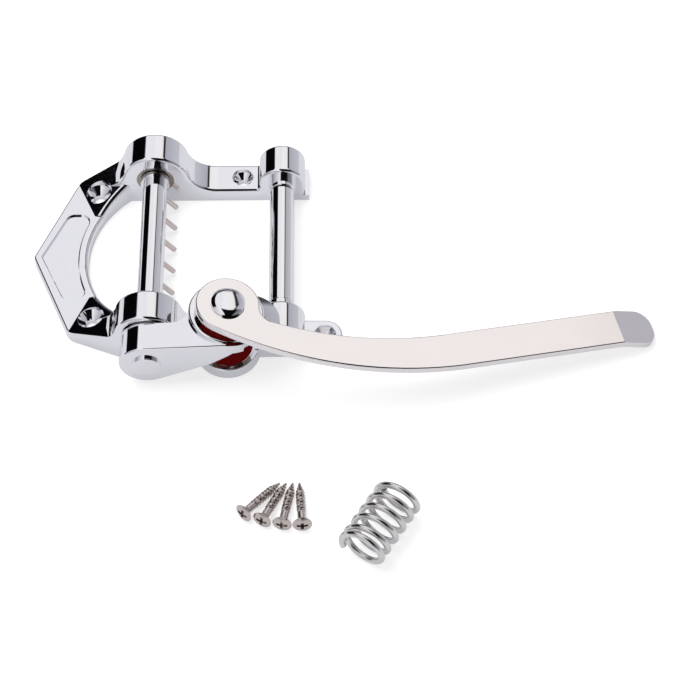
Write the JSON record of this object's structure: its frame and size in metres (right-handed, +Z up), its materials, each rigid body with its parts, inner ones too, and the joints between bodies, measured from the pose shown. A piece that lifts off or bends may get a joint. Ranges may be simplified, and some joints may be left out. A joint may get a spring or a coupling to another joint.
{
  "type": "guitar vibrato tailpiece",
  "caption": "Chrome horseshoe vibrato tailpiece with a rocking string shaft in needle bearings, a turning tension bar, a swivelling arm, and its loose return spring and wood screws.",
  "frame": {"origin": "on the underside plane, midway between the two tail screw holes", "axes": "+X along the strings towards the neck, +Y to the bass side, +Z up from the guitar top"},
  "size_m": [0.2335, 0.1799, 0.0328],
  "materials": {
    "chrome_casting": "bright polished plating over a casting",
    "chrome_handle": "bright polished plating",
    "chrome_rod": "bright polished plating over turned bar",
    "bearing_steel": "satin",
    "dark_steel": "black oxide",
    "bush_bronze": "satin",
    "pale_nylon": "matt",
    "red_fibre": "matt pressed fibre",
    "spring_steel": "bright plated wire",
    "screw_nickel": "bright nickel plate",
    "pin_steel": "polished"
  },
  "bodies": {
    "base": {"base_frame": "chrome_casting", "bass_bearing_cup": "bearing_steel", "treble_bearing_cup": "bearing_steel", "spring_pad_ring": "chrome_rod", "spring_pad": "red_fibre", "bass_bar_bush": "chrome_rod", "treble_bar_bush": "chrome_rod", "return_spring": "spring_steel", "mounting_screws": "screw_nickel"},
    "rocker": {"main_shaft": "chrome_rod", "string_pin_1": "pin_steel", "string_pin_2": "pin_steel", "string_pin_3": "pin_steel", "string_pin_4": "pin_steel", "string_pin_5": "pin_steel", "string_pin_6": "pin_steel", "bass_shaft_collar": "chrome_rod", "treble_shaft_collar": "chrome_rod", "thrust_washer": "pale_nylon", "arm_bracket": "chrome_casting", "bracket_set_screw": "dark_steel", "shaft_end_cap": "chrome_rod", "handle_washer": "red_fibre", "pivot_bolt": "chrome_rod", "upper_spring_seat": "bearing_steel", "pivot_nut": "bearing_steel"},
    "handle": {"handle": "chrome_handle", "handle_bush": "bush_bronze"},
    "tension_bar": {"tension_bar": "chrome_rod"},
    "bass_needles": {"bass_needle_rollers": "bearing_steel"},
    "treble_needles": {"treble_needle_rollers": "bearing_steel"}
  },
  "joints": [
    {"name": "rocker", "type": "hinge", "parent": "base", "child": "rocker", "pos_m": [0.0222, 0, 0.0127], "axis": [0, -1, 0], "range_deg": [0, 15]},
    {"name": "handle_swing", "type": "hinge", "parent": "rocker", "child": "handle", "pos_m": [0.05219, -0.04112, 0.02856], "axis": [0.1435, 0, 0.9896], "range_deg": [-25, 160]},
    {"name": "tension_bar_spin", "type": "hinge", "parent": "base", "child": "tension_bar", "pos_m": [0.0711, 0, 0.0092], "axis": [0, 1, 0], "continuous": true},
    {"name": "bass_needle_orbit", "type": "hinge", "parent": "base", "child": "bass_needles", "pos_m": [0.0222, 0, 0.0127], "axis": [0, -1, 0], "range_deg": [0, 6.51]},
    {"name": "treble_needle_orbit", "type": "hinge", "parent": "base", "child": "treble_needles", "pos_m": [0.0222, 0, 0.0127], "axis": [0, -1, 0], "range_deg": [0, 6.51]}
  ],
  "couplings": [
    {"joint": "bass_needle_orbit", "follows": "rocker", "ratio": 0.43379},
    {"joint": "treble_needle_orbit", "follows": "rocker", "ratio": 0.43379}
  ]
}
